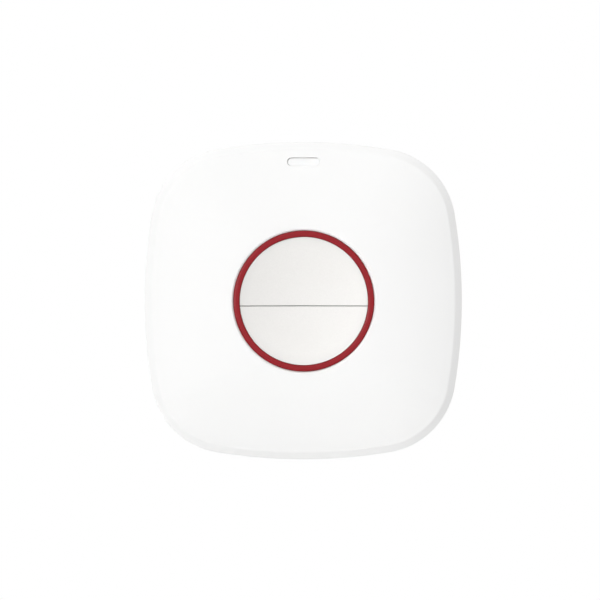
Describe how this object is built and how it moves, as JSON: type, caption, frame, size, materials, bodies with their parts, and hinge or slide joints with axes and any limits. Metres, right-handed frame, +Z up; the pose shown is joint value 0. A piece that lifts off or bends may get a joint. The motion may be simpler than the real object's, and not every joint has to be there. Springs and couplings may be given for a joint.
{
  "type": "wireless panic button",
  "caption": "Shallow square wall housing with bulging sides and a domed front; a dished key, split across its middle, sits in a red ring below a slot-shaped status light.",
  "frame": {"origin": "centre of the back face that lies against the wall", "axes": "+Z up the wall, +X to the right as seen from the front, -Y out of the wall towards the viewer"},
  "size_m": [0.076, 0.0219, 0.076],
  "materials": {
    "cover_plastic": "satin moulded",
    "housing_plastic": "fine matt texture",
    "key_plastic": "fine matt texture",
    "ring_plastic": "satin, moulded in colour",
    "frame_plastic": "moulded",
    "lens_plastic": "milky, polished face",
    "board": "solder mask",
    "dark_plastic": "moulded",
    "steel": "zinc or nickel plated",
    "can_metal": "drawn",
    "strip_metal": "stamped",
    "chip_ceramic": "fired"
  },
  "bodies": {
    "housing": {"front_cover": "cover_plastic", "rear_housing": "housing_plastic", "locking_screw": "steel", "trim_ring": "ring_plastic", "key_frame": "frame_plastic", "status_lens": "lens_plastic", "circuit_board": "board", "board_screws": "steel", "upper_switch_body": "dark_plastic", "lower_switch_body": "dark_plastic", "tamper_switch": "dark_plastic", "tamper_plunger": "dark_plastic", "coin_cell": "steel", "battery_holder": "dark_plastic", "positive_contact": "strip_metal", "negative_contact": "strip_metal", "status_led": "lens_plastic", "radio_shield": "steel", "microcontroller": "dark_plastic", "crystal": "steel", "reservoir_capacitor": "can_metal", "chip_capacitors": "chip_ceramic", "antenna": "strip_metal"},
    "upper_key": {"upper_key": "key_plastic"},
    "lower_key": {"lower_key": "key_plastic"},
    "upper_plunger": {"upper_switch_plunger": "dark_plastic"},
    "lower_plunger": {"lower_switch_plunger": "dark_plastic"}
  },
  "joints": [
    {"name": "upper_key_press", "type": "slide", "parent": "housing", "child": "upper_key", "axis": [0, 1, 0], "range_m": [0, 0.001], "stiffness_N_per_m": 1500, "springref_m": -0.0005},
    {"name": "lower_key_press", "type": "slide", "parent": "housing", "child": "lower_key", "axis": [0, 1, 0], "range_m": [0, 0.001], "stiffness_N_per_m": 1500, "springref_m": -0.0005},
    {"name": "upper_plunger_press", "type": "slide", "parent": "housing", "child": "upper_plunger", "axis": [0, 1, 0], "range_m": [0, 0.001]},
    {"name": "lower_plunger_press", "type": "slide", "parent": "housing", "child": "lower_plunger", "axis": [0, 1, 0], "range_m": [0, 0.001]}
  ],
  "couplings": [
    {"joint": "upper_plunger_press", "follows": "upper_key_press", "ratio": 1},
    {"joint": "lower_plunger_press", "follows": "lower_key_press", "ratio": 1}
  ]
}
